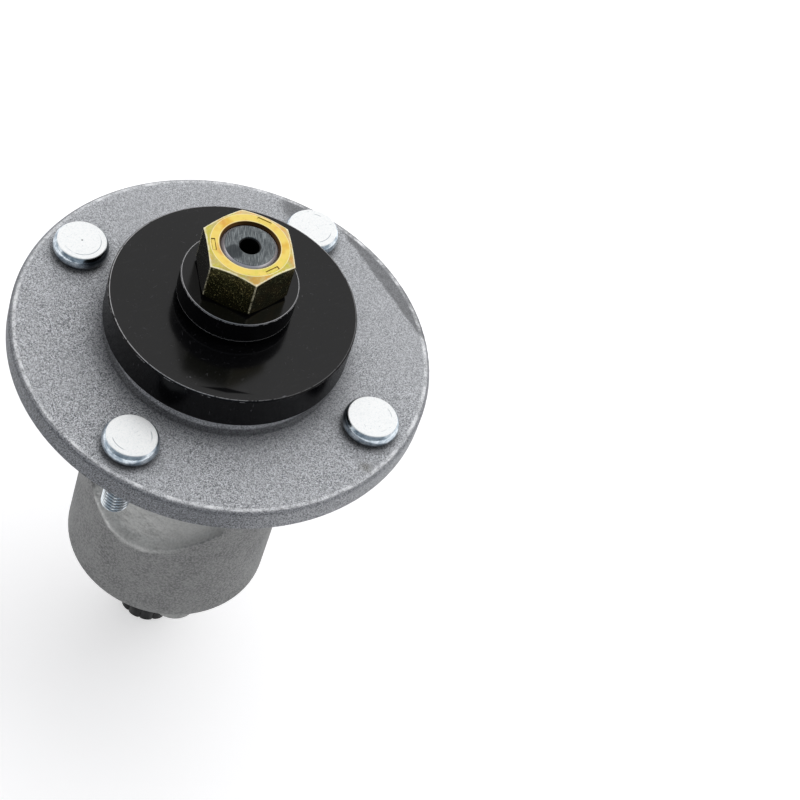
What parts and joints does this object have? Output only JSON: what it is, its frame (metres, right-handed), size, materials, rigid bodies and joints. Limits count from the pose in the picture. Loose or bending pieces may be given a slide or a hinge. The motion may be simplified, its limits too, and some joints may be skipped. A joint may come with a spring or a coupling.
{
  "type": "mower deck spindle",
  "caption": "Mower deck spindle: cast aluminium housing with a round studded flange and long barrel, sealed bearings, turning shaft with blade hub, washer and lock nut, and a lobed pulley end.",
  "frame": {"origin": "centre of the flange's deck face, on the shaft axis", "axes": "+Z along the shaft to the blade nut, away from the deck; +X through one of the flange studs"},
  "size_m": [0.146, 0.146, 0.2112],
  "materials": {
    "cast_aluminium": "shot-blasted die casting, matte",
    "zinc_steel": "bright zinc plate",
    "turned_steel": "turned steel, dark oiled",
    "black_steel": "black satin coat with worn edges",
    "yellow_zinc": "yellow zinc dichromate",
    "bearing_steel": "ground",
    "polished_steel": "polished",
    "pressed_steel": "pressed sheet",
    "seal_rubber": "moulded rubber"
  },
  "bodies": {
    "housing": {"spindle_housing": "cast_aluminium", "flange_studs": "zinc_steel", "retaining_ring": "black_steel", "blade_bearing_outer_race": "bearing_steel", "blade_bearing_seal_upper": "seal_rubber", "blade_bearing_seal_lower": "seal_rubber", "pulley_bearing_outer_race": "bearing_steel", "pulley_bearing_seal_upper": "seal_rubber", "pulley_bearing_seal_lower": "seal_rubber"},
    "shaft": {"spindle_shaft": "turned_steel", "bearing_spacer": "turned_steel", "blade_hub": "black_steel", "blade_washer": "black_steel", "lock_nut": "yellow_zinc", "blade_bearing_inner_race": "bearing_steel", "pulley_bearing_inner_race": "bearing_steel"},
    "blade_ball_set": {"blade_bearing_balls": "polished_steel", "blade_bearing_cage_upper": "pressed_steel", "blade_bearing_cage_lower": "pressed_steel", "blade_bearing_cage_rivets": "pressed_steel"},
    "pulley_ball_set": {"pulley_bearing_balls": "polished_steel", "pulley_bearing_cage_upper": "pressed_steel", "pulley_bearing_cage_lower": "pressed_steel", "pulley_bearing_cage_rivets": "pressed_steel"}
  },
  "joints": [
    {"name": "shaft_spin", "type": "hinge", "parent": "housing", "child": "shaft", "pos_m": [0, 0, 0], "axis": [0, 0, 1], "continuous": true},
    {"name": "blade_ball_orbit", "type": "hinge", "parent": "housing", "child": "blade_ball_set", "pos_m": [0, 0, 0.0058], "axis": [0, 0, 1], "continuous": true},
    {"name": "pulley_ball_orbit", "type": "hinge", "parent": "housing", "child": "pulley_ball_set", "pos_m": [0, 0, -0.0968], "axis": [0, 0, 1], "continuous": true}
  ],
  "couplings": [
    {"joint": "blade_ball_orbit", "follows": "shaft_spin", "ratio": 0.3974},
    {"joint": "pulley_ball_orbit", "follows": "shaft_spin", "ratio": 0.3974}
  ]
}
